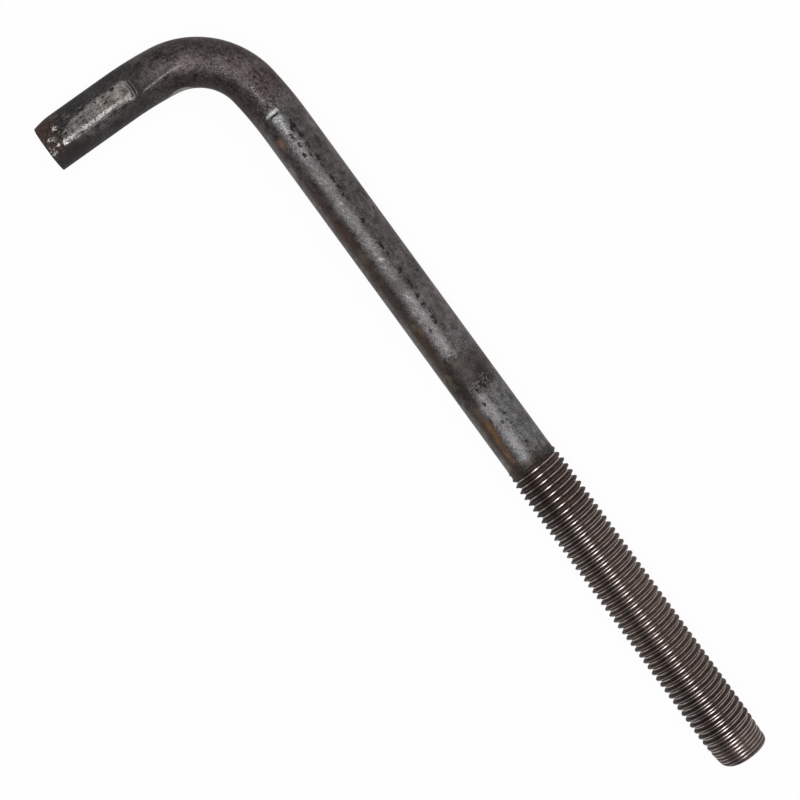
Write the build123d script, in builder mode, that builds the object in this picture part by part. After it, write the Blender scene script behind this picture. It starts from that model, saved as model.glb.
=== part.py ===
from build123d import *
import os
from math import cos, radians, sin

# An L-shaped anchor bolt, one bar of hot-bent steel with a rolled thread at its long end.
# It lies on the plane Z = 0. +X runs along the shank to the threaded tip, the hook
# points along -Y, and the origin is under the middle of the bounding box.
# Sizes are in millimetres, angles in degrees.

# Bar
bar_diameter = 20.0  # the plain shank, and the blank that the thread is rolled on
overall_length = 361.2  # outer side of the hook to the threaded tip
hook_length = 90.6  # outer side of the shank to the hook's sheared end

# Bend: one main arc, eased into the straight at both ends
bend_angle = 89.3  # the hot bar springs back a little from a right angle
bend_radius = 29.6  # centreline radius of the main arc
ease_radius = 157.6  # centreline radius of each easing arc
ease_angle = 7.4  # turn made by each easing arc
bend_width = 19.6  # in the plane of the L, half way round, where the bar is drawn thinner

# Thread, 7/8-9, drawn as the plain cylinder over its crests
thread_diameter = 22.1
thread_length = 142.4  # first crest to the tip
shoulder_length = 1.4  # the step where the thread is rolled up from the shank
point_length = 14.0  # the last stretch, where the crests get lower
point_diameter = 20.4  # over the last crest
nose_radius = 3.0

# Hook: spread sideways in the bending dies, with a flat pressed on top and underneath
hook_width = 20.3  # in the plane of the L
hook_height = 19.6  # over the curved section, before the flats
flats_height = 18.2  # from flat to flat
flats_start = 39.0  # from the corner where the two straight axes cross
flats_step = 0.8  # length of the step down to a flat

# Sheared end: the blade drags the outer side over before it cuts
drag_length = 8.3  # stretch of the hook that is dragged over
drag_depth = 1.1  # how far the outer side is dragged in at the cut

# The bend's reach: from the corner back along either axis to where the bar starts to turn
main_angle = bend_angle - 2 * ease_angle
ease_end = radians(ease_angle)
main_end = radians(bend_angle - ease_angle)
bend_rise = (
    ease_radius * (1 - cos(ease_end))
    + bend_radius * (cos(ease_end) - cos(main_end))
    + ease_radius * (cos(main_end) - cos(radians(bend_angle)))
)
bend_reach = bend_rise / sin(radians(bend_angle))

# Places in the row's frame
tip_distance = overall_length - hook_width / 2  # corner to the tip, along the shank
cut_distance = hook_length - bar_diameter / 2  # corner to the sheared end, along the hook
hook_lean = (cut_distance - drag_length) * cos(radians(bend_angle))  # its outward slant
corner = Vector(
    (hook_width / 2 + hook_lean - tip_distance) / 2,
    (cut_distance - thread_diameter / 2) / 2,
    thread_diameter / 2,
)
hook_direction = Vector(-1, 0).rotate(Axis.Z, bend_angle)
inner_side = hook_direction.rotate(Axis.Z, 90)


def hook_section(distance):
    """Plane across the hook, this far from the corner: local X to its inner side, Y up."""
    return Plane(corner + hook_direction * distance, x_dir=inner_side, z_dir=hook_direction)


with BuildPart() as anchor_bolt:
    # Shank and thread blank, turned about the shank's axis
    with BuildSketch(Plane(corner, x_dir=(1, 0, 0), z_dir=(0, -1, 0))):
        with BuildLine():
            outline = Polyline(
                (bend_reach, 0),
                (bend_reach, bar_diameter / 2),
                (tip_distance - thread_length, bar_diameter / 2),
                (tip_distance - thread_length + shoulder_length, thread_diameter / 2),
                (tip_distance - point_length, thread_diameter / 2),
                (tip_distance - nose_radius, point_diameter / 2),
            )
            nose = RadiusArc(
                outline @ 1,
                (tip_distance, point_diameter / 2 - nose_radius),
                nose_radius,
            )
            Polyline(nose @ 1, (tip_distance, 0), (bend_reach, 0))
        make_face()
    revolve(axis=Axis(corner, (1, 0, 0)))

    # Centreline of the bend, from the shank round to the hook
    with BuildLine(Plane(corner)):
        run_in = JernArc((bend_reach, 0), (-1, 0), ease_radius, ease_angle)
        main_arc = JernArc(run_in @ 1, run_in % 1, bend_radius, main_angle)
        run_out = JernArc(main_arc @ 1, main_arc % 1, ease_radius, ease_angle)

    # The bar stays round on the run-in, thins on the main arc and spreads to the hook's section
    with BuildSketch(Plane(run_in @ 0, x_dir=(0, 0, 1), z_dir=run_in % 0)):
        Circle(bar_diameter / 2)
    sweep(path=run_in)
    with BuildSketch(Plane(main_arc @ 0, x_dir=(0, 0, 1), z_dir=main_arc % 0)):
        Circle(bar_diameter / 2)
    with BuildSketch(Plane(main_arc @ 0.5, x_dir=(0, 0, 1), z_dir=main_arc % 0.5)):
        Ellipse(bar_diameter / 2, bend_width / 2)
    with BuildSketch(Plane(main_arc @ 1, x_dir=(0, 0, 1), z_dir=main_arc % 1)):
        Ellipse(hook_height / 2, hook_width / 2)
    sweep(path=main_arc, multisection=True)
    for end in (0, 1):
        with BuildSketch(Plane(run_out @ end, x_dir=(0, 0, 1), z_dir=run_out % end)):
            Ellipse(hook_height / 2, hook_width / 2)
    sweep(path=run_out, multisection=True)

    # Straight of the hook, then the stretch that the shear drags over
    with BuildSketch(hook_section(bend_reach)):
        Ellipse(hook_width / 2, hook_height / 2)
    extrude(amount=cut_distance - drag_length - bend_reach)
    for share in (0, 0.5, 1):
        drag = drag_depth * share**2
        with BuildSketch(hook_section(cut_distance - drag_length * (1 - share))):
            with Locations((drag / 2, 0)):
                Ellipse((hook_width - drag) / 2, (hook_height - drag) / 2)
    loft()

    # Flats pressed by the dies on top of the hook and underneath
    with BuildSketch(Plane(corner, x_dir=hook_direction, z_dir=inner_side)):
        for side in (1, -1):
            Polygon(
                (flats_start, side * hook_height / 2),
                (flats_start + flats_step, side * flats_height / 2),
                (cut_distance, side * flats_height / 2),
                (cut_distance, side * hook_height / 2),
                align=None,
            )
    extrude(amount=hook_width / 2, both=True, mode=Mode.SUBTRACT)

anchor_bolt.part.label = "anchor_bolt"
os.makedirs("parts", exist_ok=True)
export_step(anchor_bolt.part, "parts/anchor_bolt.step")
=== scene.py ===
import math
import bpy
from mathutils import Matrix, Vector


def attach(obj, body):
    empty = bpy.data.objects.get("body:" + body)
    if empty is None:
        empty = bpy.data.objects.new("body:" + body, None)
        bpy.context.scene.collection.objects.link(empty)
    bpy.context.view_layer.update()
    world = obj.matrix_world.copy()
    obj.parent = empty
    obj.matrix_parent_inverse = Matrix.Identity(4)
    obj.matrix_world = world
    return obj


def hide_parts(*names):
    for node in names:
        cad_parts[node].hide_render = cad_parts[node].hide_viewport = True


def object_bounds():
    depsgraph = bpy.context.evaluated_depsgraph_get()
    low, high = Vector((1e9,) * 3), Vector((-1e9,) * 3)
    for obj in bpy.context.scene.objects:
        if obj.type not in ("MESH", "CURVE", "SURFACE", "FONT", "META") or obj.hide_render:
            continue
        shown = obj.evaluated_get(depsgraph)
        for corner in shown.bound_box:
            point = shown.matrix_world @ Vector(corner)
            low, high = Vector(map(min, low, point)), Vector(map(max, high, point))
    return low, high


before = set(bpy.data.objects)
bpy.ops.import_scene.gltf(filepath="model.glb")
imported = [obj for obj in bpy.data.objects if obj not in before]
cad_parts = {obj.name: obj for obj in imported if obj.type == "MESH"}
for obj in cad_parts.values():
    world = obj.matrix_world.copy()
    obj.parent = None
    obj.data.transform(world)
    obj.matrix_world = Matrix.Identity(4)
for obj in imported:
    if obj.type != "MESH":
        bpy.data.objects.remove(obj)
cadLow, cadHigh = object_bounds()
print("frame loaded:", ", ".join(sorted(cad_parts)))

mm = 0.001

# The bolt is modelled straight, with its sheared end at x = 0 and its axis on X, and bent last.
bolt = {
    "around": 72,  # facets round the bar
    "barRadius": 10.0 * mm,
    "tipDistance": 351.05 * mm,  # from the corner where both axes cross to the threaded tip
    "cutDistance": 80.56 * mm,  # from that corner to the sheared end
    "bendAngle": 89.3,
    "bendRadius": 29.6 * mm,
    "easeRadius": 157.6 * mm,
    "easeAngle": 7.4,
    "threadRadius": 11.05 * mm,
    "threadLength": 142.4 * mm,
    "pitch": 2.8222 * mm,
    "flankAngle": 60,
    "rootRadius": 0.56 * mm,  # rounding of the groove
    "crestRadius": 0.36 * mm,
    "crestPhase": 39.96 * mm,  # place of a crest on the outer side, along X
    "runIn": 2.8 * mm,  # plain stretch that is modelled with the thread, before its start
    "swellHeight": 0.07 * mm,  # the bar is this much thicker where the thread starts
    "swellLength": 2.6 * mm,
    "grooveStart": (0.9 * mm, 3.0 * mm),  # from the thread's start: where the groove opens and is full
    "crestStart": (-0.6 * mm, 0.5 * mm),  # from the thread's start: where the first crest rises
    "firstCrest": 0.45,  # its height, as a share of the full crest's
    "crestGrowth": (0.6, 2.4),  # turns between which the crests grow to their full height
    "pointLength": 14.0 * mm,
    "pointRadius": 10.2 * mm,
    "noseRadius": 2.2 * mm,
    "noseWorn": 1.2 * mm,  # added to that radius on the inner side
    "noseOffset": 0.35 * mm,
    "noseOffsetLength": 8 * mm,
    "noseBlend": 0.05 * mm,  # rounding of a crest that the point cuts off
    "grooveEnd": (5 * mm, 16 * mm),  # from the tip: where the grooves have run out and are still full
    "grooveLeft": 0.13,  # share of their depth that is left at the tip
    "hookWidth": 20.25 * mm,
    "bendWidth": 19.6 * mm,
    "hookHeight": 19.6 * mm,
    "flatsHeight": 17.9 * mm,
    "flatsEnd": 42.4 * mm,  # from the sheared end
    "flatsRunOut": 2.4 * mm,
    "flatsSlope": 0.36,  # rise of the run-out
    "flatsPress": 0.94,  # share of what stands over a flat that is pressed down
    "flatsTilt": 9.5,  # the top flat leans to the inner side
    "dragLength": 8.3 * mm,
    "dragDepth": 1.1 * mm,
    "tipInsets": (0.9 * mm, 1.6 * mm, 1.6 * mm),
    "cutInsets": (0.5 * mm, 1.2 * mm, 2.2 * mm, 2.2 * mm, 2.2 * mm),
    "smoothAngle": 42,
}


def smooth(low, high, value):
    share = min(max((value - low) / (high - low), 0), 1)
    return share * share * (3 - 2 * share)


def deselectAll():
    bpy.ops.object.select_all(action="DESELECT")


def makeActive(piece):
    deselectAll()
    piece.select_set(True)
    bpy.context.view_layer.objects.active = piece


def editMode(selecting="VERT"):
    bpy.ops.object.mode_set(mode="EDIT")
    bpy.ops.mesh.select_mode(type=selecting)
    bpy.ops.mesh.select_all(action="DESELECT")


def objectMode():
    bpy.ops.object.mode_set(mode="OBJECT")


def startPoint(name, place):
    # a plane merged to one vertex, which is then drawn out into a line
    deselectAll()
    bpy.ops.mesh.primitive_plane_add(size=1)
    piece = bpy.context.object
    piece.name = name
    editMode()
    bpy.ops.mesh.select_all(action="SELECT")
    bpy.ops.mesh.merge(type="CENTER")
    bpy.ops.transform.translate(value=place)
    return piece


def drawTo(move):
    bpy.ops.mesh.extrude_vertices_move(TRANSFORM_OT_translate={"value": move})


def selectVertices(piece, test):
    editMode()
    objectMode()
    for vertex in piece.data.vertices:
        vertex.select = test(vertex.co)
    bpy.ops.object.mode_set(mode="EDIT")


def selectEdges(piece, test):
    editMode("EDGE")
    objectMode()
    places = [vertex.co for vertex in piece.data.vertices]
    for edge in piece.data.edges:
        edge.select = test(places[edge.vertices[0]], places[edge.vertices[1]])
    bpy.ops.object.mode_set(mode="EDIT")


def applyModifier(piece, kind, **settings):
    makeActive(piece)
    modifier = piece.modifiers.new(kind.lower(), kind)
    for name, value in settings.items():
        setattr(modifier, name, value)
    bpy.ops.object.modifier_apply(modifier=modifier.name)


# places that follow from the CAD box
axisY = cadHigh.y - bolt["threadRadius"]
axisZ = (cadLow.z + cadHigh.z) / 2
corner = Vector((cadHigh.x - bolt["tipDistance"], axisY, axisZ))
hookSlant = math.radians(bolt["bendAngle"])
hookDirection = Vector((-math.cos(hookSlant), -math.sin(hookSlant), 0))
easeTurn = math.radians(bolt["easeAngle"])
mainTurn = hookSlant - 2 * easeTurn
bendRise = (
    bolt["easeRadius"] * (1 - math.cos(easeTurn))
    + bolt["bendRadius"] * (math.cos(easeTurn) - math.cos(easeTurn + mainTurn))
    + bolt["easeRadius"] * (math.cos(easeTurn + mainTurn) - math.cos(hookSlant))
)
bendReach = bendRise / math.sin(hookSlant)

# stations along the straight bar, from the sheared end
hookStraight = bolt["cutDistance"] - bendReach
mainStart = hookStraight + bolt["easeRadius"] * easeTurn
mainEnd = mainStart + bolt["bendRadius"] * mainTurn
shankStart = mainEnd + bolt["easeRadius"] * easeTurn
barShift = shankStart - (corner.x + bendReach)  # from a place along X to one along the bar
tipPlace = cadHigh.x - 0.002 * mm + barShift  # just inside the CAD box
threadStart = tipPlace - bolt["threadLength"]
print("bar length", round(tipPlace * 1000, 2), "thread from", round(threadStart * 1000, 2))


def bendPath():
    # centreline from the sheared end round the bend to the tip, which the straight bar is bent along
    place = corner + hookDirection * bolt["cutDistance"]
    path = startPoint("bendPath", place)
    heading = -hookDirection
    drawTo(heading * (hookStraight - 1 * mm))
    drawTo(heading * 1 * mm)
    place = place + heading * hookStraight
    for radius, turn, steps in (
        (bolt["easeRadius"], easeTurn, 12),
        (bolt["bendRadius"], mainTurn, 64),
        (bolt["easeRadius"], easeTurn, 12),
    ):
        centre = place + Vector((heading.y, -heading.x, 0)) * radius
        bpy.ops.mesh.spin(steps=steps, angle=turn, center=centre, axis=(0, 0, 1))
        arm = place - centre
        arm.rotate(Matrix.Rotation(-turn, 3, "Z"))
        heading.rotate(Matrix.Rotation(-turn, 3, "Z"))
        place = centre + arm
    drawTo((1 * mm, 0, 0))
    drawTo((cadHigh.x - place.x - 1 * mm, 0, 0))
    objectMode()
    bpy.ops.object.convert(target="CURVE")
    path.data.twist_mode = "Z_UP"
    return path


def toothPlaces():
    # one tooth from the middle of a groove to the next, as (distance, radius)
    pitch = bolt["pitch"]
    flank = math.radians(bolt["flankAngle"])
    rootHalf = bolt["rootRadius"] * math.sin(flank)
    rootRise = bolt["rootRadius"] * 0.5
    crestHalf = bolt["crestRadius"] * math.sin(flank)
    crestRise = bolt["crestRadius"] * 0.5
    flankRun = pitch / 2 - rootHalf - crestHalf
    flankRise = flankRun * math.tan(flank)
    root = bolt["threadRadius"] - crestRise - flankRise - rootRise
    half = []
    for turn in (0, 30, 60):
        angle = math.radians(turn)
        half.append((
            bolt["rootRadius"] * math.sin(angle),
            root + bolt["rootRadius"] * (1 - math.cos(angle)),
        ))
    for share in (0.36, 0.7):
        half.append((rootHalf + flankRun * share, root + rootRise + flankRise * share))
    for turn in (60, 30, 0):
        angle = math.radians(turn)
        half.append((
            pitch / 2 - bolt["crestRadius"] * math.sin(angle),
            bolt["threadRadius"] - bolt["crestRadius"] * (1 - math.cos(angle)),
        ))
    print("thread root radius", round(root * 1000, 3))
    return half + [(pitch - distance, radius) for distance, radius in half[-2::-1]]


def noseRadiusAt(x, side):
    # radius of the blank near the tip: a slow taper, then the rounded nose, which sits a little off centre
    fromTip = tipPlace - min(x, tipPlace)
    nose = bolt["noseRadius"] + bolt["noseWorn"] * max(-side, 0) ** 2
    askew = bolt["noseOffset"] * side * (1 - smooth(0, bolt["noseOffsetLength"], fromTip))
    if fromTip < nose:
        into = nose - fromTip
        return bolt["pointRadius"] - nose + math.sqrt(max(nose * nose - into * into, 0)) + askew
    share = (fromTip - nose) / (bolt["pointLength"] - nose)
    return bolt["pointRadius"] + (bolt["threadRadius"] - bolt["pointRadius"]) * min(share, 1) + askew


def rolledRadiusAt(x, y, z, firstGroove):
    # radius of a point of the even thread once its start, its point and its nose are rolled
    pitch = bolt["pitch"]
    radius = math.hypot(y, z)
    fromStart = x - threadStart
    shank = bolt["barRadius"] + bolt["swellHeight"] * smooth(-bolt["swellLength"], 0, fromStart)
    if radius < shank:
        # the groove that this point belongs to opens as the helix goes on
        turned = math.atan2(z, y) / (2 * math.pi)
        groove = firstGroove + (round((x - firstGroove) / pitch - turned) + turned) * pitch
        share = smooth(*bolt["grooveStart"], groove - threadStart)
    else:
        growth = smooth(*(turns * pitch for turns in bolt["crestGrowth"]), fromStart)
        share = smooth(*bolt["crestStart"], fromStart)
        share *= bolt["firstCrest"] + (1 - bolt["firstCrest"]) * growth
    wanted = shank + (radius - shank) * share
    cap = noseRadiusAt(x, y / radius)
    blend = bolt["noseBlend"]
    if wanted > cap - blend:
        wanted = cap - blend * math.exp(-(wanted - (cap - blend)) / blend)
    # the grooves run out over the point
    left = bolt["grooveLeft"]
    return cap - (cap - wanted) * (left + (1 - left) * smooth(*bolt["grooveEnd"], tipPlace - x))


def modelThread():
    places = toothPlaces()
    pitch = bolt["pitch"]
    phase = bolt["crestPhase"] + barShift - pitch / 2
    turnsBack = math.ceil((phase - threadStart + 2 * mm) / pitch) + 1
    firstGroove = phase - turnsBack * pitch
    turns = math.ceil((tipPlace - firstGroove) / pitch) + 2
    piece = startPoint("anchorBolt", (firstGroove, places[0][1], 0))
    for before, after in zip(places, places[1:]):
        drawTo((after[0] - before[0], after[1] - before[1], 0))
    objectMode()
    applyModifier(
        piece,
        "SCREW",
        axis="X",
        angle=2 * math.pi,
        screw_offset=pitch,
        iterations=turns,
        steps=bolt["around"],
        render_steps=bolt["around"],
    )
    editMode()
    bpy.ops.mesh.select_all(action="SELECT")
    bpy.ops.mesh.remove_doubles(threshold=2e-6)
    objectMode()
    for vertex in piece.data.vertices:
        x, y, z = vertex.co
        share = rolledRadiusAt(x, y, z, firstGroove) / math.hypot(y, z)
        vertex.co = (x, y * share, z * share)
    # both ragged ends are scaled flat and their doubles merged, which leaves two clean rings
    for side, place in ((-1, threadStart - bolt["runIn"]), (1, tipPlace)):
        selectVertices(piece, lambda co: (co.x - place) * side > -1e-7)
        bpy.ops.transform.resize(value=(0, 1, 1), center_override=(place, 0, 0))
        bpy.ops.mesh.remove_doubles(threshold=2e-6)
        objectMode()
    print("thread", len(piece.data.polygons), "faces")
    return piece, firstGroove


def drawRing(piece, place, target, cuts):
    # pulls the open ring at one place along the bar to the next and cuts the new faces
    selectVertices(piece, lambda co: abs(co.x - place) < 1e-6)
    bpy.ops.mesh.extrude_region_move(TRANSFORM_OT_translate={"value": (target - place, 0, 0)})
    objectMode()
    low, high = sorted((place, target))
    selectEdges(piece, lambda a, b: abs(a.x - b.x) > (high - low) * 0.99 and max(a.x, b.x) < high + 1e-6)
    bpy.ops.mesh.subdivide(number_cuts=cuts)
    objectMode()


def modelBar(piece):
    # cut most finely where it bends and where the shear drags it
    place = threadStart - bolt["runIn"]
    for target, cuts in (
        (shankStart, 70),
        (mainEnd, 14),
        (mainStart, 44),
        (hookStraight, 26),
        (bolt["dragLength"], 44),
        (0, 16),
    ):
        drawRing(piece, place, target, cuts)
        place = target
    print("bar", len(piece.data.polygons), "faces")


def selectOpenRing(piece, place):
    editMode()
    bpy.ops.mesh.select_non_manifold()
    objectMode()
    ring = {v.index for v in piece.data.vertices if v.select and abs(v.co.x - place) < 1e-6}
    editMode()
    objectMode()
    for index in ring:
        piece.data.vertices[index].select = True
    bpy.ops.object.mode_set(mode="EDIT")


def closeEnd(piece, place, insets):
    selectOpenRing(piece, place)
    bpy.ops.mesh.edge_face_add()
    for thickness in insets:
        bpy.ops.mesh.inset(thickness=thickness, depth=0)
    bpy.ops.mesh.poke()
    objectMode()


def keepPlaces(piece):
    # the straight bar's own coordinates stay on the mesh, for the finish
    attribute = piece.data.attributes.new("barPlace", "FLOAT_VECTOR", "POINT")
    for vertex, item in zip(piece.data.vertices, attribute.data):
        item.vector = vertex.co


def pressHook(piece):
    # the dies spread the hook, press a flat on both sides and the shear drags its end over
    bar = bolt["barRadius"]
    width = bolt["hookWidth"] / 2
    height = bolt["hookHeight"] / 2
    flat = bolt["flatsHeight"] / 2
    tilt = math.radians(bolt["flatsTilt"])
    for vertex in piece.data.vertices:
        x, y, z = vertex.co
        if x > mainEnd:
            continue
        spread = 1 - smooth(mainStart, mainEnd, x)
        wayRound = min(max((mainEnd - x) / (mainEnd - mainStart), 0), 1)
        halfWidth = bar + (width - bar) * spread
        halfWidth += (bolt["bendWidth"] / 2 - bar * 0.5 - width * 0.5) * math.sin(math.pi * wayRound)
        halfHeight = bar + (height - bar) * spread
        drag = bolt["dragDepth"] * max(1 - x / bolt["dragLength"], 0) ** 2
        y = y / bar * (halfWidth - drag / 2) - drag / 2
        z = z / bar * (halfHeight - drag / 2)
        level = flat + max(x - bolt["flatsEnd"] + bolt["flatsRunOut"], 0) * bolt["flatsSlope"]
        reach = z * math.cos(tilt) - y * math.sin(tilt)
        over = abs(reach) - level
        if over > 0:
            pressed = math.copysign(over * bolt["flatsPress"], reach)
            y += pressed * math.sin(tilt)
            z -= pressed * math.cos(tilt)
        vertex.co = (x, y, z)


def modelBolt():
    piece, firstGroove = modelThread()
    modelBar(piece)
    closeEnd(piece, tipPlace, bolt["tipInsets"])
    closeEnd(piece, 0, bolt["cutInsets"])
    keepPlaces(piece)
    pressHook(piece)
    path = bendPath()
    applyModifier(piece, "CURVE", object=path, deform_axis="POS_X")
    bpy.data.objects.remove(path)
    makeActive(piece)
    editMode()
    bpy.ops.mesh.select_all(action="SELECT")
    bpy.ops.mesh.remove_doubles(threshold=1e-6)
    bpy.ops.mesh.normals_make_consistent(inside=False)
    objectMode()
    bpy.ops.object.shade_smooth_by_angle(angle=math.radians(bolt["smoothAngle"]))
    print("bolt bent,", len(piece.data.vertices), "vertices")
    return piece, firstGroove


anchorBolt, firstGroove = modelBolt()
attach(anchorBolt, "root")
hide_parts("anchor_bolt")


class Wire:
    # a socket whose sums and products add Math nodes
    def __init__(self, finish, socket):
        self.finish = finish
        self.socket = socket

    def math(self, operation, *values):
        return self.finish.node("Math", {"operation": operation}, dict(enumerate(values)))

    def __add__(self, other):
        return self.math("ADD", self, other)

    def __radd__(self, other):
        return self.math("ADD", other, self)

    def __sub__(self, other):
        return self.math("SUBTRACT", self, other)

    def __rsub__(self, other):
        return self.math("SUBTRACT", other, self)

    def __mul__(self, other):
        return self.math("MULTIPLY", self, other)

    def __rmul__(self, other):
        return self.math("MULTIPLY", other, self)

    def __truediv__(self, other):
        return self.math("DIVIDE", self, other)

    def __rtruediv__(self, other):
        return self.math("DIVIDE", other, self)


class Finish:
    # one material, and the one method that adds a node to it
    def __init__(self, name):
        self.material = bpy.data.materials.new(name)
        self.material.use_nodes = True
        self.tree = self.material.node_tree
        self.principled = self.tree.nodes["Principled BSDF"]

    def feed(self, socket, value):
        if isinstance(value, Wire):
            self.tree.links.new(value.socket, socket)
        elif isinstance(value, tuple) and socket.type == "RGBA":
            socket.default_value = (*value, 1)
        else:
            socket.default_value = value

    def node(self, kind, settings, inputs, output=0):
        made = self.tree.nodes.new("ShaderNode" + kind)
        for name, value in settings.items():
            if name == "stops":
                self.setStops(made.color_ramp, value)
            else:
                setattr(made, name, value)
        for key, value in inputs.items():
            self.feed(made.inputs[key], value)
        return Wire(self, made.outputs[output])

    def setStops(self, ramp, stops):
        while len(ramp.elements) < len(stops):
            ramp.elements.new(1)
        for element, (place, shade) in zip(ramp.elements, stops):
            element.position = place
            element.color = (*shade, 1) if isinstance(shade, tuple) else (shade, shade, shade, 1)

    def ramp(self, value, stops):
        return self.node("ValToRGB", {"stops": stops}, {"Fac": value})

    def step(self, value, low, high):
        # 0 below low, 1 above high, smooth between
        return self.node(
            "MapRange",
            {"interpolation_type": "SMOOTHSTEP"},
            {"Value": value, "From Min": low, "From Max": high},
        )

    def band(self, value, low, high, soft):
        return self.step(value, low - soft, low + soft) * (1 - self.step(value, high - soft, high + soft))

    def larger(self, first, second):
        return first.math("MAXIMUM", first, second)

    def noise(self, place, scale, detail=3.0, roughness=0.5):
        return self.node(
            "TexNoise", {}, {"Vector": place, "Scale": scale, "Detail": detail, "Roughness": roughness}
        )

    def blend(self, factor, first, second, mode="MIX"):
        return self.node(
            "Mix",
            {"data_type": "RGBA", "blend_type": mode, "clamp_factor": True},
            {0: factor, 6: first, 7: second},
            2,
        )

    def vectorMath(self, operation, first, second):
        return self.node("VectorMath", {"operation": operation}, {0: first, 1: second})

    def stretch(self, place, lengths, turn=0):
        # coordinates that draw a texture out, slanted by an angle on the bar's upper side
        return self.node(
            "Mapping",
            {"vector_type": "TEXTURE"},
            {"Vector": place, "Scale": lengths, "Rotation": (0, 0, math.radians(turn))},
        )


# the same stations in mm, for the finish
threadFrom = threadStart * 1000
tipAt = tipPlace * 1000

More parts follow.
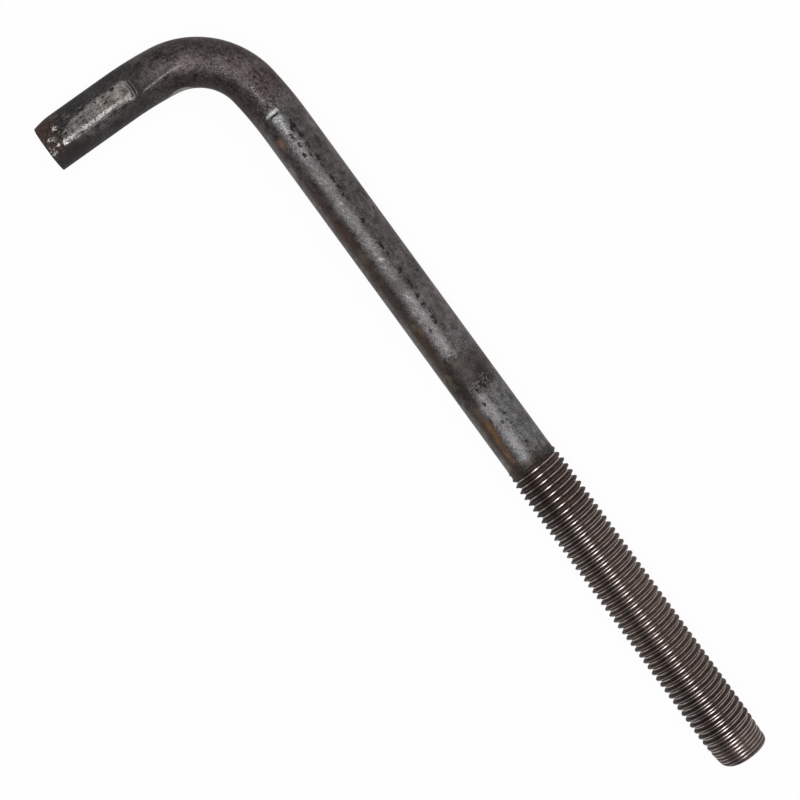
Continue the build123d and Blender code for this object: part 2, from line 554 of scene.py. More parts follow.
# The steel's finish. Levels run along the bar in mm from its sheared end. Marks lie on the upper side,
# each as (along the bar, round the bar towards the inner side, half length, half width), in mm.
darkSteel = {
    "shades": {
        "violetTint": (1.01, 0.95, 1.01),
        "greenTint": (0.965, 1.0, 0.95),
        "soot": (0.0, 0.0, 0.0),
        "bendShadingTint": (2.0, 1.98, 1.94),
        "grainTint": (2.0, 2.0, 2.0),
        "handled": (0.160, 0.158, 0.158),
        "scratch": (0.29, 0.285, 0.29),
        "darkScratch": (0.045, 0.042, 0.041),
        "wash": (0.072, 0.043, 0.028),
        "wine": (0.100, 0.056, 0.048),
        "darkCloud": (0.055, 0.049, 0.046),
        "patchDark": (0.026, 0.021, 0.018),
        "patchSpeck": (0.022, 0.018, 0.017),
        "patchWorn": (0.22, 0.215, 0.215),
        "print": (0.46, 0.46, 0.47),
        "printShadow": (0.030, 0.026, 0.025),
        "scuff": (0.36, 0.36, 0.37),
        "bendSpeck": (0.46, 0.43, 0.43),
        "flatSide": (0.085, 0.085, 0.080),
        "flatTint": (1.0, 0.93, 0.86),
        "flatSheen": (0.130, 0.112, 0.122),
        "rub": (0.54, 0.52, 0.51),
        "ridge": (0.42, 0.40, 0.39),
        "ridgeGap": (0.040, 0.036, 0.034),
        "pit": (0.022, 0.020, 0.020),
        "pitHalo": (0.050, 0.047, 0.046),
        "redRust": (0.21, 0.080, 0.044),
        "orangeGround": (0.070, 0.044, 0.018),
        "orangeRust": (0.185, 0.078, 0.024),
        "olive": (0.100, 0.086, 0.034),
        "endRed": (0.055, 0.022, 0.015),
        "endDull": (0.022, 0.019, 0.019),
        "faintSpeck": (0.22, 0.22, 0.215),
        "endSpeck": (0.80, 0.76, 0.73),
        "flankTint": (3.0, 3.2, 3.0),
        "bare": (0.165, 0.132, 0.125),
        "bareHighlight": (0.34, 0.29, 0.28),
        "core": (0.33, 0.285, 0.275),
        "coreHighlight": (0.78, 0.72, 0.705),
    },
    "edgeTint": (0.72, 0.70, 0.69),  # of the gloss
    # colours that a noise picks from
    "mixes": {
        "scale": [(0.1, (0.044, 0.042, 0.040)), (0.5, (0.120, 0.117, 0.115)), (0.9, (0.230, 0.228, 0.228))],
        "bendGrain": [(0.40, 0.30), (0.5, 0.5), (0.60, 0.76)],
        "patch": [(0.40, (0.022, 0.017, 0.015)), (0.60, (0.094, 0.080, 0.072))],
        "flat": [(0.16, (0.032, 0.028, 0.025)), (0.5, (0.108, 0.102, 0.097)), (0.84, (0.26, 0.256, 0.252))],
        "hookEnd": [
            (0.40, (0.006, 0.005, 0.005)), (0.47, (0.032, 0.019, 0.015)), (0.54, (0.078, 0.052, 0.044)),
            (0.61, (0.27, 0.23, 0.215)),
        ],
        "burnish": [(0.38, (0.10, 0.092, 0.086)), (0.56, (0.31, 0.297, 0.283))],
        "flank": [(0.39, (0.016, 0.0075, 0.006)), (0.61, (0.060, 0.036, 0.029))],
        "tipFace": [(0.38, (0.022, 0.017, 0.015)), (0.60, (0.105, 0.092, 0.085))],
        "cutFace": [
            (0.38, (0.012, 0.009, 0.008)), (0.50, (0.045, 0.029, 0.023)), (0.62, (0.12, 0.098, 0.088)),
        ],
    },
    # levels of painted light and shade round the bar, from its underside by the outer side, the upper line
    # at 0.5, and the inner side
    "shadingRound": {
        "bend": [
            (0.10, 0.30), (0.22, 0.42), (0.38, 0.60), (0.50, 0.56), (0.60, 0.50), (0.70, 0.36),
            (0.90, 0.24),
        ],
        "flank": [
            (0.08, 0.70), (0.22, 0.90), (0.50, 0.95), (0.58, 0.95), (0.62, 0.5), (0.65, 0.20), (0.69, 0.34),
            (0.73, 0.6), (0.78, 0.6), (0.88, 0.45),
        ],
    },
    "levels": {
        "tone": [
            (0.0, 0.24), (40.0, 0.31), (46.0, 0.52), (60.0, 0.67), (103.0, 0.74), (107.4, 0.92),
            (120.0, 0.90), (150.0, 0.80), (185.0, 0.73), (205.0, 0.86), (224.0, 0.90), (246.0, 0.98),
            (268.0, 1.0), (272.0, 0.95), (273.2, 0.5), (275.0, 0.36),
        ],
        "warm": [
            (0.0, (1.0, 0.97, 0.96)), (40.0, (1.0, 0.95, 0.93)), (60.0, (1.0, 0.86, 0.85)),
            (104.0, (1.0, 0.86, 0.85)), (108.0, (1.0, 0.95, 0.95)), (150.0, (1.0, 0.93, 0.91)),
            (205.0, (1.0, 0.95, 0.94)), (245.0, (0.99, 0.97, 0.99)), (271.0, (0.98, 0.98, 0.98)),
            (273.4, (1.0, 0.9, 0.82)),
        ],
        "outerDark": [(110.0, 0.26), (150.0, 0.24), (175.0, 0.06), (230.0, 0.0)],
        "wash": [
            (107.0, 0.15), (150.0, 0.35), (160.0, 0.7), (168.0, 0.6), (200.0, 0.6), (215.0, 0.85),
            (245.0, 1.0), (272.0, 0.9), (280.0, 0.2),
        ],
        "rub": [
            (6.0, 0.8), (8.0, 1.0), (11.0, 0.9), (13.0, 0.45), (16.0, 0.5), (18.0, 0.85), (21.0, 0.6),
            (24.0, 1.0), (29.0, 1.0), (32.0, 0.6), (36.0, 0.35), (38.0, 0.5),
        ],
        "flank": [
            (threadFrom + 18.0, 0.50), (threadFrom + 50.0, 0.80), (threadFrom + 72.0, 1.0),
            (tipAt - 45.0, 0.72), (tipAt - 25.0, 0.56),
        ],
        "crestBrightness": [
            (threadFrom + 22.0, 0.03), (threadFrom + 34.0, 0.7), (threadFrom + 70.0, 0.4),
            (tipAt - 45.0, 0.45), (tipAt - 27.0, 0.7), (tipAt - 23.0, 1.0),
        ],
    },
    "marks": {
        "pits": [
            (115.4, -1.9, 1.84, 0.56), (116.6, -0.6, 0.88, 0.48), (120.7, -2.1, 1.2, 0.56),
            (119.5, 1.1, 1.28, 0.36), (123.5, 0.9, 0.88, 0.44), (125.2, -2.1, 0.96, 0.52),
            (127.6, 1.6, 0.88, 0.48), (129.3, -0.6, 0.72, 0.32), (131.5, -2.3, 1.36, 0.52),
            (141.4, -1.9, 1.36, 0.48), (145.5, -1.9, 1.04, 0.4), (148.8, -1.8, 0.48, 0.36),
            (161.4, -1.8, 1.2, 0.48), (173.4, -1.8, 1.44, 0.44), (177.4, -2.2, 0.48, 0.44),
            (185.5, -2.1, 1.04, 0.56), (191.4, -2.3, 1.76, 0.36), (196.8, -2, 0.72, 0.56),
            (201.2, -1.4, 0.6, 0.48), (204.8, -2, 0.6, 0.48), (207.1, -1.6, 0.64, 0.56),
            (209.6, -1.4, 0.72, 0.48), (211.2, 2.1, 0.64, 0.4), (188.9, -9, 0.48, 0.8),
            (153.4, -10, 1.52, 0.48), (159.6, -9.9, 1.12, 0.48), (240.4, -2.1, 0.8, 0.4),
            (240.2, 1.4, 0.4, 0.4), (253.5, -2.3, 0.48, 0.36), (258.2, -2.1, 0.56, 0.48),
            (267, -2.5, 0.64, 0.4), (253.5, 4.2, 0.72, 0.4), (255.8, 0.6, 0.4, 0.36),
            (163.5, 4.5, 0.4, 0.36), (246.2, 2.1, 0.64, 0.48), (108.8, 2.0, 0.45, 1.6),
            (33.9, -2.0, 0.65, 0.45), (29.2, -1.8, 0.6, 0.4), (25.6, -1.6, 0.4, 0.35),
            (19.5, -2.9, 1.2, 0.5), (28.9, 0.7, 0.65, 0.25), (9.6, 1.5, 0.7, 0.35),
            (13.6, 4.2, 0.5, 0.35), (39.0, 4.1, 0.4, 0.4), (15.3, 4.7, 0.6, 0.35),
            (17.6, -1.9, 0.4, 0.4), (11.2, -1.2, 0.8, 0.35),
        ],
        "redRust": [(119.2, 6.4, 2.3, 1.6), (269, 6.5, 2.6, 0.9), (225.4, 3.7, 0.4, 0.7)],
        "orangeRust": [
            (255.8, 6.1, 4.8, 1.3), (262.5, 7.0, 3.4, 0.9), (209.5, 5.8, 2, 0.8), (267.5, 7.4, 2.5, 0.7),
        ],
        "olive": [(172.6, 7.7, 2.9, 1.7), (206.4, 7.3, 1.6, 1.1), (231, 9.0, 3.6, 1.2), (247, 7.0, 3, 0.9)],
        "wine": [(160.5, 8.0, 6.5, 2.2), (214, 8.0, 4, 1.6), (251, 9.2, 6, 1.3), (145, 8.9, 5, 1.5)],
        "scuffs": [(118.5, 1.8, 12, 2), (151, 1.2, 2.6, 0.6), (177.5, 1.4, 1.2, 0.9), (196, 1.2, 1.8, 0.7)],
        "darkCloud": [
            (189, 1.6, 3.6, 2.8), (142, 5.0, 3, 1.2), (192, 6.4, 8, 0.7), (245.5, 4.0, 3.5, 1.6),
        ],
        "patch": [(233.3, -3.6, 8.2, 12), (236.8, 7.4, 8, 6), (231, 2.4, 6.4, 9)],
        "patchDark": [(237.0, -4.4, 4.8, 3.0), (238.5, 6.0, 6.5, 2.4), (228.8, 5.5, 2.8, 1.6)],
        "patchEdge": [(238.4, -1.4, 2.8, 2.8), (239.4, 2.0, 2.4, 2.2), (238.0, -4.8, 2.0, 1.8)],
        "burnish": [(58.3, 17.0, 7.9, 4.3)],
        "flatCorner": [(38.3, 4.3, 2.6, 1.5)],
        "endSpecks": [
            (7.2, -2.6, 1.3, 0.8), (1.8, 4.6, 1.1, 1.3), (3.6, 0.0, 1.2, 1.2), (7.6, 4.3, 1.0, 0.8),
            (5.2, 3.4, 1.4, 0.5),
        ],
        "faintSpecks": [
            (13.6, -3.6, 1.6, 0.5), (13.2, -5.2, 1.4, 0.4), (20.0, -3.9, 2.0, 0.4), (10.0, -7.5, 1.6, 0.5),
        ],
    },
}


class Coat(Finish):
    # a finish laid out on the bar in mm, painted layer over layer from the tables above
    def __init__(self, name):
        super().__init__(name)
        place = self.node("Attribute", {"attribute_name": "barPlace"}, {}, "Vector")
        self.place = self.node("VectorMath", {"operation": "SCALE"}, {0: place, "Scale": 1000.0})
        self.along = self.node("SeparateXYZ", {}, {0: self.place}, "X")
        parts = self.along.socket.node.outputs
        self.outer = Wire(self, parts["Y"])
        self.up = Wire(self, parts["Z"])
        inner = self.outer * -1.0
        self.arc = inner.math("ARCTAN2", inner, self.up) * 10.0  # round the bar, from its upper line
        self.layNoises()

    def layNoises(self):
        place = self.place
        self.mottle = self.noise(place, 0.13, 4.0)
        self.cloud = self.noise(place, 0.42, 5.0, 0.62)
        self.grain = self.noise(place, 1.15, 5.0, 0.75)
        self.fine = self.noise(place, 2.4, 3.0, 0.7)
        self.drawn = self.noise(self.stretch(place, (6.0, 0.75, 0.75)), 1.0, 4.0, 0.6)
        self.scratch = self.noise(self.stretch(place, (2.8, 0.45, 1.0), 40), 1.0, 4.0, 0.75)
        self.scratchBack = self.noise(self.stretch(place, (2.8, 0.5, 1.0), -35), 1.0, 4.0, 0.75)
        # how far an edge strays along the bar and round it
        self.warp = (self.noise(place, 1.1, 4.0, 0.7) - 0.5) * 4.0
        across = self.noise(self.stretch(place, (1.0, 1.0, 1.0), 70), 1.2, 4.0, 0.7)
        self.warpAcross = (across - 0.5) * 3.2
        self.ragged = self.spread(self.along + self.warp, self.arc + self.warpAcross)
        self.wide = self.spread(
            self.along + self.warp * 0.8 + (self.mottle - 0.5) * 14.0 + (self.cloud - 0.5) * 10.0,
            self.arc + self.warpAcross * 0.8 + (self.cloud - 0.5) * 8.0,
        )

    def spread(self, along, arc):
        return self.node("CombineXYZ", {}, {"X": along, "Y": arc})

    def paint(self, factor, shade, mode="MIX"):
        if isinstance(shade, str):
            shade = darkSteel["shades"][shade]
        self.colour = self.blend(factor, self.colour, shade, mode)

    def mix(self, name, value):
        return self.ramp(value, darkSteel["mixes"][name])

    def side(self, name):
        return self.ramp(self.arc * (1 / 32) + 0.5, darkSteel["shadingRound"][name])

    def level(self, name):
        stops = [(where / tipAt, level) for where, level in darkSteel["levels"][name]]
        return self.ramp(self.along / tipAt, stops)

    def reach(self, name, coordinates):
        # distance to the nearest mark of a list, 1 at its rim
        nearest = None
        for along, around, halfLength, halfWidth in darkSteel["marks"][name]:
            offset = self.vectorMath("SUBTRACT", coordinates, (along, around, 0))
            offset = self.vectorMath("MULTIPLY", offset, (1 / halfLength, 1 / halfWidth, 0))
            reach = self.node("VectorMath", {"operation": "LENGTH"}, {0: offset}, "Value")
            nearest = reach if nearest is None else reach.math("MINIMUM", nearest, reach)
        return nearest

    def spots(self, name, soft=0.4, coordinates=None, roughen=0.0):
        reach = self.reach(name, coordinates or self.ragged) + (self.grain - 0.5) * roughen
        return 1 - self.step(reach, 1 - soft, 1 + soft)


def markZones(coat):
    # the thread, the shank past the die's print, the ragged sheared end, and the pits
    along, arc, place = coat.along, coat.arc, coat.place
    coat.onThread = coat.step(along, threadFrom + 1.6, threadFrom + 2.6)
    printEdge = along + (coat.cloud - 0.5) * 1.2 - (arc - 2.0) * (arc - 2.0) * 0.05
    coat.pastDie = coat.step(printEdge, 106.5, 107.1)
    coat.onShank = coat.pastDie * (1 - coat.onThread)
    raggedEnd = along + arc * 0.35 + coat.warp * 2.0 + (coat.cloud - 0.5) * 16.0
    coat.atEnd = 1 - coat.step(raggedEnd, 5.6, 9.4)
    reach = coat.reach("pits", coat.ragged)
    coat.pitHalo = 1 - coat.step(reach + (coat.cloud - 0.5) * 1.5, 0.8, 2.4)
    placed = 1 - coat.step(reach + (coat.fine - 0.5) * 1.5, 0.7, 1.3)
    # small ones are strung along the bar's upper line, and others scattered below
    strung = coat.noise(coat.stretch(place, (1.5, 0.7, 0.7)), 1.0, 3.0, 0.6)
    upperLine = coat.band(arc + coat.warpAcross * 0.7, -2.9, -0.9, 0.7)
    strung = upperLine * coat.step(strung, 0.56, 0.64) * coat.onShank
    below = coat.noise(coat.stretch(place, (2.2, 1.1, 1.1)), 1.0, 3.0, 0.6)
    below = coat.step(below, 0.63, 0.70) * (1 - coat.step(coat.up, -5.0, -3.0)) * (1 - coat.onThread)
    coat.pits = coat.larger(placed, coat.larger(strung * 0.45, below))


def paintScale(coat):
    # mill scale, toned along the bar from the sheared end to the thread
    along, arc, warpAcross = coat.along, coat.arc, coat.warpAcross
    coat.vary = (
        0.5 + (coat.mottle - 0.5) * 0.9 + (coat.cloud - 0.5) * 1.3 + (coat.grain - 0.5) * 1.5
        + (coat.drawn - 0.5) * 0.5
    )
    coat.colour = coat.mix("scale", coat.vary)
    coat.paint(1.0, coat.level("tone"), "MULTIPLY")
    coat.paint(1.0, coat.level("warm"), "MULTIPLY")
    hue = coat.noise(coat.place, 0.2, 3.0)
    coat.paint(coat.step(hue, 0.50, 0.66), "violetTint", "MULTIPLY")
    coat.paint(coat.step(1 - hue, 0.52, 0.66), "greenTint", "MULTIPLY")

    # painted shade: a darker outer side near the bend, and a dark line along the inner side, a painted
    # reflection of the dim surroundings
    outerDark = coat.band(arc + warpAcross, -8.5, -1.8, 1.2) * coat.level("outerDark") * coat.pastDie
    innerDarkReflection = coat.band(arc + warpAcross * 0.5, 7.3, 9.6, 0.9) * coat.onShank * 0.3
    coat.paint(coat.larger(outerDark, innerDarkReflection), "soot")

    # the bend is browner, with painted light on its outer half and painted shade on its inner one
    shades = darkSteel["shades"]
    bendShading = coat.blend(1.0, coat.side("bend"), shades["bendShadingTint"], "MULTIPLY")
    coat.paint(coat.band(along, 50.0, 105.0, 8.0), coat.blend(1.0, coat.colour, bendShading, "MULTIPLY"))
    bendGrain = coat.mix("bendGrain", coat.grain * 0.5 + coat.fine * 0.5)
    bendGrain = coat.blend(1.0, bendGrain, shades["grainTint"], "MULTIPLY")
    coat.paint(1 - coat.pastDie, coat.blend(1.0, coat.colour, bendGrain, "MULTIPLY"))


def paintShank(coat):
    # the upper band that hands and racks wear, scratched both ways; it is also painted lighter as a painted
    # highlight, and its scratches are painted bright as glints
    along, arc, warpAcross, cloud, grain = coat.along, coat.arc, coat.warpAcross, coat.cloud, coat.grain
    scratchGlints = coat.step(coat.scratch, 0.52, 0.62) + coat.step(coat.scratchBack, 0.54, 0.64)
    beforeThread = 1 - coat.step(along + coat.warp, 272.0, 275.0)
    handled = coat.band(arc + warpAcross * 0.5, -0.6, 4.4, 1.5) * coat.onShank * beforeThread
    coat.paint(handled * 0.25, "handled")
    coat.paint(handled * scratchGlints * 0.5, "scratch")
    darkScratches = coat.step(1 - coat.scratch, 0.56, 0.66) * coat.onShank
    coat.paint(darkScratches * 0.45, "darkScratch")

    # brown wash down the inner side and in patches underneath
    wash = coat.band(arc + warpAcross, 5.4, 10.2, 1.4) * coat.level("wash")
    below = (1 - coat.step(coat.up, -6.0, 1.0)) * coat.step(coat.mottle, 0.46, 0.6)
    coat.wash = coat.larger(wash, below * 0.7) * coat.step(cloud, 0.26, 0.54)
    coat.paint(coat.wash * 0.85, "wash")
    coat.paint(coat.spots("wine", 0.6, coat.wide) * 0.5, "wine")
    coat.paint(coat.spots("darkCloud", 0.6, coat.wide) * 0.6, "darkCloud")

    # the brown patch, with a speckled edge towards the thread
    coat.patch = coat.spots("patch", 0.2, coat.wide, 2.2)
    patchDark = coat.spots("patchDark", 0.5, coat.wide, 1.6)
    patchEdge = coat.spots("patchEdge", 0.5, coat.ragged, 1.2)
    coat.paint(coat.patch * 0.9, coat.mix("patch", cloud * 0.5 + grain * 0.5))
    coat.paint(coat.patch * patchDark * 0.85, "patchDark")
    coat.paint(patchEdge * coat.step(grain, 0.47, 0.56) * 0.85, "patchSpeck")
    coat.paint(patchEdge * coat.step(1 - grain, 0.50, 0.58) * 0.6, "patchWorn")


def paintPrint(coat):
    # the bending die's print, worn bright, with a tail down the shank and scuffs beyond
    along, arc, warpAcross, grain, fine = coat.along, coat.arc, coat.warpAcross, coat.grain, coat.fine
    printAcross = coat.band(arc + warpAcross * 0.3, -0.8, 5.2, 0.5)
    coat.dieWear = coat.pastDie * (1 - coat.step(along, 108.0, 108.6)) * printAcross
    dieTail = coat.band(along, 109.0, 111.4, 0.4) + coat.band(along, 111.0, 116.0, 2.0) * 0.6
    dieTail = dieTail * coat.band(arc + warpAcross * 0.5, 0.2, 3.4, 0.9)
    coat.paint(coat.dieWear * coat.step(grain, 0.25, 0.6), "print")
    coat.paint(dieTail * coat.step(grain * 0.5 + coat.drawn * 0.5, 0.44, 0.56) * 0.75, "print")
    coat.scuffs = coat.spots("scuffs", 0.6)
    specks = coat.step(grain * 0.6 + coat.scratch * 0.4, 0.50, 0.60)
    coat.paint(coat.scuffs * specks * 0.9, "scuff")

    # a bright line along the bend, specks painted bright as glints in the bend's highlight band, and a
    # shadow before the print
    bendLine = coat.band(arc + (along - 44.0) * 0.14, 4.9, 5.6, 0.35) * coat.band(along, 44.0, 62.0, 1.5)
    coat.paint(bendLine * coat.step(fine, 0.44, 0.54) * 0.8, "bendSpeck")
    bendGlints = coat.band(arc, 0.8, 3.0, 0.6) * coat.band(along, 91.0, 102.0, 2.0)
    midBendGlints = coat.band(arc, 0.6, 5.0, 1.5) * coat.band(along, 58.0, 88.0, 6.0)
    bendGlints = coat.larger(bendGlints, midBendGlints * 0.5)
    coat.ridgeSpecks = coat.step(fine, 0.53, 0.62)
    coat.paint(bendGlints * coat.ridgeSpecks * 0.9, "bendSpeck")
    dieShadow = coat.band(along, 103.0, 106.6, 0.8) * coat.band(arc + warpAcross * 0.5, -2.0, 3.0, 1.0)
    coat.paint(dieShadow * coat.step(1 - grain, 0.44, 0.56) * 0.8, "printShadow")


def paintFlat(coat):
    # pressed flat of the hook: a grey floor and a darker rim along its outer side
    along, arc, warp, warpAcross = coat.along, coat.arc, coat.warp, coat.warpAcross
    cloud, grain, fine = coat.cloud, coat.grain, coat.fine
    nearEnd = 1 - coat.step(along, 9.0, 14.0)
    flatAlong = along + warp * 0.5 + (warp * 1.2 + (cloud - 0.5) * 12.0) * nearEnd
    flatAcross = arc + warpAcross * 0.8
    flatOuter = flatAcross + 3.0 - 1.7 * (1 - coat.step(along, 12.0, 21.0))
    flat = coat.step(flatOuter, -0.35, 0.35) * (1 - coat.step(flatAcross, 5.3, 5.9))
    flat = flat * coat.step(flatAlong + (arc - 3.0) * 0.3, 6.2, 7.6)
    flat = flat * (1 - coat.step(flatAlong, 39.5, 40.9))
    coat.flat = flat
    flatSide = coat.step(flatOuter, -2.6, -0.2) * (1 - flat) * coat.band(along, 9.0, 41.0, 3.0)
    flatSide = flatSide * (1 - coat.step(arc, 0.0, 2.0))
    coat.paint(flatSide * coat.step(grain, 0.4, 0.6) * 0.6, "flatSide")
    flatWarm = coat.step(along + (coat.mottle - 0.5) * 20.0, 21.0, 29.0)
    coat.paint(flat * 0.95, coat.mix("flat", coat.vary))
    coat.paint(flat * flatWarm * 0.7, "flatTint", "MULTIPLY")

    # a painted sheen beside it, and its inner edge rubbed bright, partly wear and partly a painted
    # highlight
    sheen = coat.band(arc + warpAcross * 0.8 + (cloud - 0.5) * 4.0, 5.2, 8.2, 1.6)
    sheen = sheen * coat.band(along, 15.0, 35.0, 6.0)
    coat.paint(sheen * coat.step(coat.vary, 0.2, 0.7), "flatSheen")
    rubAt = arc + warpAcross * 0.45 + (cloud - 0.5) * 3.0
    rub = coat.band(rubAt, 3.0, 4.2, 0.4) * coat.band(flatAlong, 6.6, 40.0, 1.0)
    rub = rub * coat.step(grain * 0.4 + fine * 0.6, 0.44, 0.54) * coat.level("rub")
    flatCorner = coat.spots("flatCorner", 0.4, coat.ragged, 1.5)
    rub = coat.larger(rub, flatCorner * coat.step(fine, 0.44, 0.56) * 0.6)
    coat.paint(rub, "rub")

    # three ridges round its end, which the die squeezed up
    endRound = coat.spread(along - 31.3 + warp * 0.12, arc - 1.8 + warpAcross * 0.1)
    endReach = coat.node("VectorMath", {"operation": "LENGTH"}, {0: endRound}, "Value")
    pastEnd = coat.step(along, 36.0, 37.5) * coat.band(arc + warpAcross * 0.3, -1.4, 5.0, 0.6)
    firstRidge = coat.band(endReach, 7.6, 7.9, 0.2) * 0.9
    secondRidge = coat.band(endReach, 8.7, 9.0, 0.2)
    thirdRidge = coat.band(endReach, 10.1, 10.35, 0.2) * 0.75
    coat.ridges = (firstRidge + secondRidge + thirdRidge) * pastEnd
    ridgeGaps = coat.band(endReach, 7.7, 10.3, 0.3) * pastEnd * (1 - coat.ridges)
    coat.paint(ridgeGaps * 0.6, "ridgeGap")
    coat.paint(coat.ridges * (0.45 + coat.ridgeSpecks * 0.5), "ridge")


def paintRust(coat):
    # pits, and rust in spots and streaks
    cloud, grain, drawn = coat.cloud, coat.grain, coat.drawn
    coat.redRust = coat.spots("redRust", 0.5, coat.ragged, 1.5)
    coat.orangeRust = coat.spots("orangeRust", 0.8, coat.ragged, 3.0)
    coat.olive = coat.spots("olive", 0.6)
    coat.paint(coat.pitHalo * 0.4, "pitHalo")
    coat.paint(coat.pits * 0.8, "pit")
    coat.paint(coat.redRust * coat.step(cloud, 0.36, 0.6) * 0.85, "redRust")
    coat.paint(coat.orangeRust * 0.7, "orangeGround")
    coat.paint(coat.orangeRust * coat.step(drawn * 0.6 + grain * 0.4, 0.45, 0.56) * 0.85, "orangeRust")
    coat.paint(coat.olive * coat.step(cloud, 0.3, 0.55) * 0.5, "olive")


def paintHookEnd(coat):
    # the sheared end, blotched and speckled, and a lighter spot inside the bend
    along, arc, warp, warpAcross = coat.along, coat.arc, coat.warp, coat.warpAcross
    cloud, grain, drawn = coat.cloud, coat.grain, coat.drawn
    coat.paint(coat.atEnd * 0.92, coat.mix("hookEnd", cloud * 0.3 + grain * 0.7))
    endRed = coat.atEnd * coat.band(arc + warpAcross, -9.0, -2.0, 2.5) * coat.step(cloud, 0.44, 0.56)
    coat.paint(endRed * 0.8, "endRed")
    endDull = coat.step(arc + warpAcross, 5.5, 8.0) * (1 - coat.step(along + warp, 11.0, 17.0))
    coat.paint(endDull * 0.8, "endDull")
    plain = coat.spread(along + warp * 0.2, arc + warpAcross * 0.1)
    fadeBelow = 1 - coat.step(arc + (drawn - 0.5) * 14.0 + warpAcross, 16.2, 20.4)
    coat.burnish = coat.spots("burnish", 0.08, plain) * fadeBelow
    coat.paint(coat.burnish, coat.mix("burnish", grain * 0.4 + drawn * 0.6))
    faintSpecks = coat.spots("faintSpecks", 0.5, coat.ragged, 1.5)
    coat.paint(faintSpecks * coat.step(grain, 0.45, 0.55) * 0.7, "faintSpeck")
    endSpecks = coat.spots("endSpecks", 0.5, coat.ragged, 1.5)
    coat.paint(endSpecks * coat.step(grain, 0.47, 0.55), "endSpeck")


def paintThread(coat):
    # thread: dark brown flanks with painted light and shade, rolled roots left bare, roots and crests
    # painted brighter where the highlight falls, crests brighter towards the tip
    along, arc, outer, grain = coat.along, coat.arc, coat.outer, coat.grain
    pitch = bolt["pitch"] * 1000
    shades = darkSteel["shades"]
    turned = outer.math("ARCTAN2", coat.up, outer) / (2 * math.pi)
    turns = (along - firstGroove * 1000) / pitch - turned
    phase = coat.node("Math", {"operation": "FRACT"}, {0: turns})
    fromCrest = phase.math("ABSOLUTE", phase - 0.5) * pitch
    rootBare = coat.step(fromCrest + (grain - 0.5) * 0.2, pitch / 2 - 0.46, pitch / 2 - 0.30)
    rootCore = coat.step(fromCrest + (grain - 0.5) * 0.1, pitch / 2 - 0.24, pitch / 2 - 0.10)
    crestCore = (1 - coat.step(fromCrest + (grain - 0.5) * 0.15, 0.10, 0.22)) * coat.level("crestBrightness")
    offNose = coat.onThread * (1 - coat.step(along, tipAt - 1.1, tipAt - 0.5))
    core = coat.larger(rootCore, crestCore) * offNose
    coat.bare = coat.larger(rootBare * 0.6, core) * offNose
    # the band round the bar where the highlight falls, in which bare roots and crests are painted brighter
    # as a painted highlight
    highlightBand = coat.band(arc + coat.warpAcross * 0.15, 0.4, 1.8, 0.75)
    # painted light and shade on the flanks: lighter on the outer side and by the highlight, and a painted
    # dark band below it
    flankToneAndShading = coat.blend(1.0, coat.side("flank"), coat.level("flank"), "MULTIPLY")
    flankToneAndShading = coat.blend(1.0, flankToneAndShading, shades["flankTint"], "MULTIPLY")
    flank = coat.mix("flank", coat.cloud * 0.3 + grain * 0.7)
    coat.paint(coat.onThread, coat.blend(1.0, flank, flankToneAndShading, "MULTIPLY"))
    coat.paint(coat.bare * (0.75 + grain * 0.25), coat.blend(highlightBand, shades["bare"], shades["bareHighlight"]))
    coat.paint(core, coat.blend(highlightBand, shades["core"], shades["coreHighlight"]))


def paintFaces(coat):
    # both end faces: cut steel gone dark, with the blade's marks across the tip
    coat.sawn = coat.noise(coat.stretch(coat.place, (1.0, 9.0, 0.35)), 1.0, 3.0, 0.7)
    coat.onFace = coat.step(coat.along, tipAt - 0.10, tipAt - 0.03)
    coat.paint(coat.onFace, coat.mix("tipFace", coat.sawn * 0.6 + coat.cloud * 0.4))
    # a noise shows a star at its origin, which is on the sheared face, so that face reads it further on
    cutPlace = coat.vectorMath("ADD", coat.place, (37.3, 11.9, 23.7))
    coat.cutCloud = coat.noise(cutPlace, 0.42, 5.0, 0.62)
    coat.cutGrain = coat.noise(cutPlace, 1.15, 5.0, 0.75)
    coat.onCut = 1 - coat.step(coat.along, 0.03, 0.10)
    coat.paint(coat.onCut, coat.mix("cutFace", coat.cutCloud * 0.5 + coat.cutGrain * 0.5))


def setGloss(coat):
    along, grain, cloud, bare = coat.along, coat.grain, coat.cloud, coat.bare
    onThread, onCut, flat, patch, wash = coat.onThread, coat.onCut, coat.flat, coat.patch, coat.wash
    allRust = coat.larger(coat.larger(coat.redRust, coat.orangeRust), coat.olive * 0.6)
    rough = 0.37 + (grain - 0.5) * 0.5 + (cloud - 0.5) * 0.25 + patch * 0.16
    rough = rough + coat.pits * 0.2 + allRust * 0.25
    rough = rough + (1 - coat.onShank) * 0.06 - coat.scuffs * 0.06 - coat.dieWear * 0.05
    rough = rough + coat.atEnd * 0.16 + wash * 0.12
    rough = rough + (1 - coat.step(along, 38.0, 56.0)) * (1 - flat) * 0.26
    atNose = coat.step(along, tipAt - 3.6, tipAt - 1.8)
    threadRough = 0.60 + (grain - 0.5) * 0.25 - bare * 0.42 + atNose * 0.18
    rough = rough * (1 - onThread) + onThread * threadRough
    rough = rough * (1 - onCut) + onCut * (0.58 + (coat.cutGrain - 0.5) * 0.3)
    darkSides = (1 - coat.step(along, 40.0, 60.0)) * (1 - flat) * (1 - coat.burnish) * 0.6
    metallic = 1 - coat.larger(allRust, coat.atEnd * 0.6) * 0.8 - patch * 0.3 - wash * 0.25 - darkSides
    metallic = metallic * (1 - onThread) + onThread * (0.3 + bare * 0.7)
    metallic = metallic * (1 - onCut) + onCut * 0.45
    coat.feed(coat.principled.inputs["Roughness"], rough)
    coat.feed(coat.principled.inputs["Metallic"], metallic)
    coat.feed(coat.principled.inputs["Specular Tint"], darkSteel["edgeTint"])


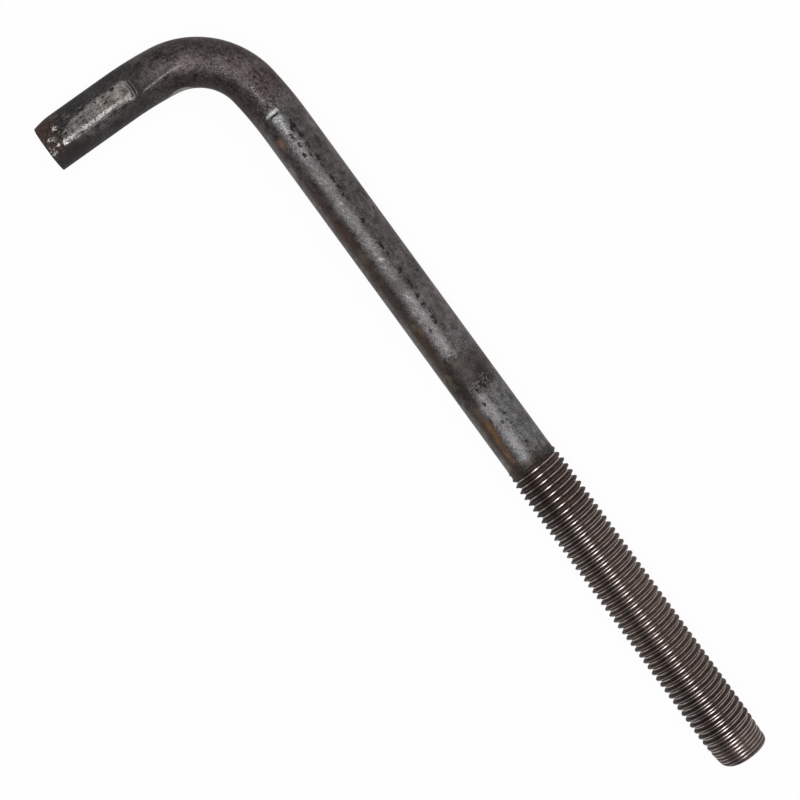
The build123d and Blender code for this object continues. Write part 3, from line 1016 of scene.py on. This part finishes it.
def setRelief(coat):
    # scale grain, slanting scratches, pits, the print's edge and the ridges
    grain, onThread = coat.grain, coat.onThread
    relief = grain * 1.1 + coat.cloud * 0.6 + (coat.scratch + coat.scratchBack) * 0.6 * coat.onShank
    relief = relief - coat.pits * 1.6
    relief = relief + coat.ridges * 0.8 - coat.dieWear * 0.5 + coat.patch * 0.3 + coat.atEnd * grain * 1.6
    relief = relief + grain * (1 - coat.pastDie) * (1 - coat.flat) * 1.0
    relief = relief * (1 - onThread) + onThread * grain * 0.3 + coat.onFace * coat.sawn * 1.6
    relief = relief * (1 - coat.onCut) + coat.onCut * (coat.cutGrain * 2.2 + coat.cutCloud)
    normal = coat.node("Bump", {}, {"Strength": 1.0, "Distance": 0.00013, "Height": relief}, "Normal")
    coat.feed(coat.principled.inputs["Normal"], normal)


def makeDarkSteel():
    coat = Coat("darkSteel")
    markZones(coat)
    paintScale(coat)
    paintShank(coat)
    paintPrint(coat)
    paintFlat(coat)
    paintRust(coat)
    paintHookEnd(coat)
    paintThread(coat)
    paintFaces(coat)
    coat.feed(coat.principled.inputs["Base Color"], coat.colour)
    setGloss(coat)
    setRelief(coat)
    print("dark steel,", len(coat.tree.nodes), "nodes")
    return coat.material


anchorBolt.data.materials.append(makeDarkSteel())

# floor, light and camera
studio = {
    "floorSize": 6,
    "floorShade": (0.95, 0.95, 0.95),
    "floorRoughness": 0.9,
    "floorGlow": 0.95,  # share of plain white that camera and reflections see, the rest takes the shadow
    "worldStrength": 0.25,
    "keyLight": {"place": (0.17, -0.26, 1.1), "turn": (0, 0, 16), "size": (1.15, 0.85), "watts": 9.4},
    "sideLow": {"place": (0, 1.3, 0.45), "turn": (-74, 0, 0), "size": (2.0, 0.7), "watts": 3.0},
    "sideHigh": {"place": (0, 0.9, 0.95), "turn": (-43, 0, 0), "size": (1.6, 0.7), "watts": 3.3},
    "camera": {"place": (-0.01043, 0.00733, 0.65665), "turn": (0, 0, 53.88), "lens": 74.25, "sensor": 36},
}


def inRadians(turn):
    return [math.radians(angle) for angle in turn]


deselectAll()
bpy.ops.mesh.primitive_plane_add(size=studio["floorSize"])
floor = bpy.context.object
floor.name = "floor"
paper = Finish("palePaper")
paper.feed(paper.principled.inputs["Base Color"], studio["floorShade"])
paper.feed(paper.principled.inputs["Roughness"], studio["floorRoughness"])
sees = paper.node("LightPath", {}, {}, "Is Camera Ray")
for ray in ("Is Glossy Ray", "Is Transmission Ray"):
    sees = paper.larger(sees, paper.node("LightPath", {}, {}, ray))
glow = paper.node("Emission", {}, {"Color": (1.0, 1.0, 1.0), "Strength": 1.0})
plainPaper = Wire(paper, paper.principled.outputs[0])
mixed = paper.node("MixShader", {}, {0: sees * studio["floorGlow"], 1: plainPaper, 2: glow})
paper.feed(paper.tree.nodes["Material Output"].inputs["Surface"], mixed)
floor.data.materials.append(paper.material)

world = bpy.data.worlds.new("studio")
world.use_nodes = True
world.node_tree.nodes["Background"].inputs["Color"].default_value = (1, 1, 1, 1)
world.node_tree.nodes["Background"].inputs["Strength"].default_value = studio["worldStrength"]
bpy.context.scene.world = world

for name in ("keyLight", "sideLow", "sideHigh"):
    settings = studio[name]
    bpy.ops.object.light_add(type="AREA", location=settings["place"], rotation=inRadians(settings["turn"]))
    lamp = bpy.context.object
    lamp.name = name
    lamp.data.shape = "RECTANGLE"
    lamp.data.size, lamp.data.size_y = settings["size"]
    lamp.data.energy = settings["watts"]

view = studio["camera"]
bpy.ops.object.camera_add(location=view["place"], rotation=inRadians(view["turn"]))
camera = bpy.context.object
camera.data.lens = view["lens"]
camera.data.sensor_width = view["sensor"]
bpy.context.scene.camera = camera
bpy.context.scene.view_settings.view_transform = "Standard"
print("floor, lights and camera placed")
